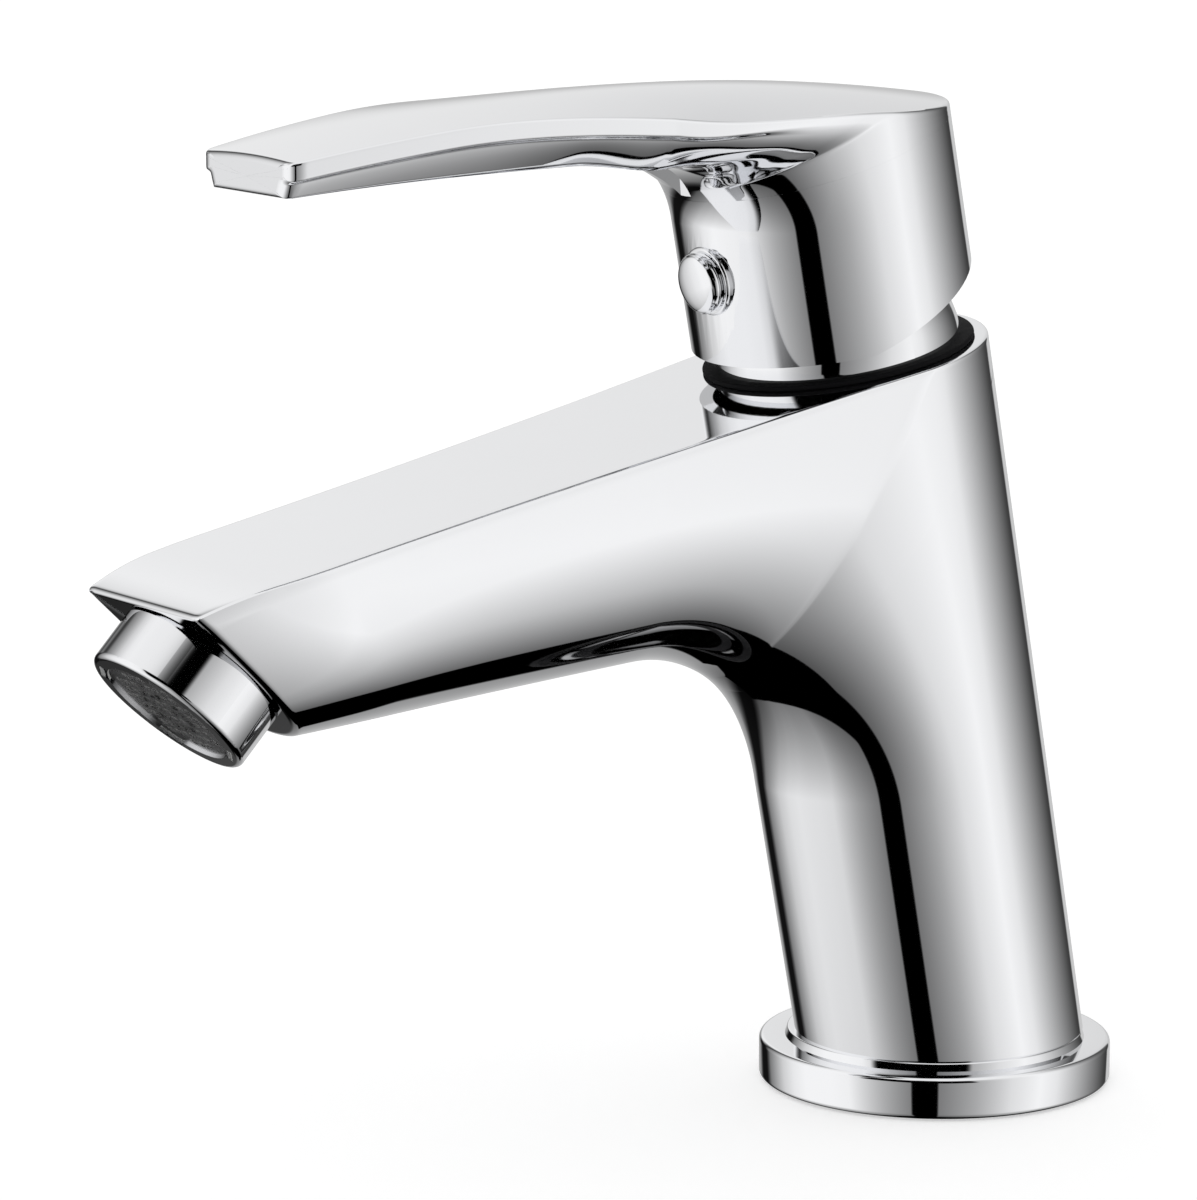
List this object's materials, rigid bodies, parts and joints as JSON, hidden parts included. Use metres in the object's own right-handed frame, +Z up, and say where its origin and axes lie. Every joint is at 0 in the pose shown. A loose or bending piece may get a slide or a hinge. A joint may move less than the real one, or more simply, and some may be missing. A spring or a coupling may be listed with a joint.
{
  "type": "bathroom mixer faucet",
  "caption": "Chrome single-lever basin mixer with a leaning round column, a long flat-topped spout and an angled aerator.",
  "frame": {"origin": "centre of the deck ring's underside, where the mixer sits on the basin or counter", "axes": "+Z up, -Y towards the spout's outlet and the lever's tip, +X to the right hand side seen from the spout's back, symmetric about X = 0"},
  "size_m": [0.054, 0.1731, 0.1556],
  "materials": {
    "chrome": "polished chrome plate",
    "black_rubber": "matt",
    "brass": "turned",
    "black_plastic": "matt",
    "white_plastic": "satin",
    "ceramic_white": "lapped, stands in for alumina ceramic",
    "blue_plastic": "satin",
    "grey_plastic": "satin",
    "red_plastic": "satin",
    "green_plastic": "satin",
    "steel": "bright"
  },
  "bodies": {
    "body": {"body": "chrome", "base_ring": "chrome", "deck_seal": "black_rubber", "cartridge_nut": "brass", "slip_ring": "black_plastic", "dome_cover": "chrome", "cartridge_housing": "white_plastic", "cartridge_base": "white_plastic", "port_seals": "black_rubber", "fixed_disc": "ceramic_white", "limit_ring": "red_plastic", "aerator_housing": "chrome", "aerator_washer": "black_rubber", "flow_regulator": "green_plastic", "aerator_insert": "white_plastic", "aerator_screen": "steel"},
    "turret": {"turret": "grey_plastic", "stem_seal": "black_rubber", "pivot_pin": "steel"},
    "lever": {"lever": "chrome", "spindle": "steel", "set_screw": "steel", "button_ring": "chrome", "button": "chrome"},
    "mixer_disc": {"moving_disc": "ceramic_white", "disc_carrier": "blue_plastic"}
  },
  "joints": [
    {"name": "lever_turn", "type": "hinge", "parent": "body", "child": "turret", "pos_m": [0, -0.01852, 0.107], "axis": [0, -0.1908, 0.9816], "range_deg": [-45, 45]},
    {"name": "lever_lift", "type": "hinge", "parent": "turret", "child": "lever", "pos_m": [0, -0.01852, 0.107], "axis": [-1, 0, 0], "range_deg": [0, 17]},
    {"name": "disc_slide", "type": "slide", "parent": "turret", "child": "mixer_disc", "axis": [0, -0.9816, -0.1908], "range_m": [0, 0.0041]}
  ],
  "couplings": [
    {"joint": "disc_slide", "follows": "lever_lift", "m_per_rad": 0.0136}
  ]
}
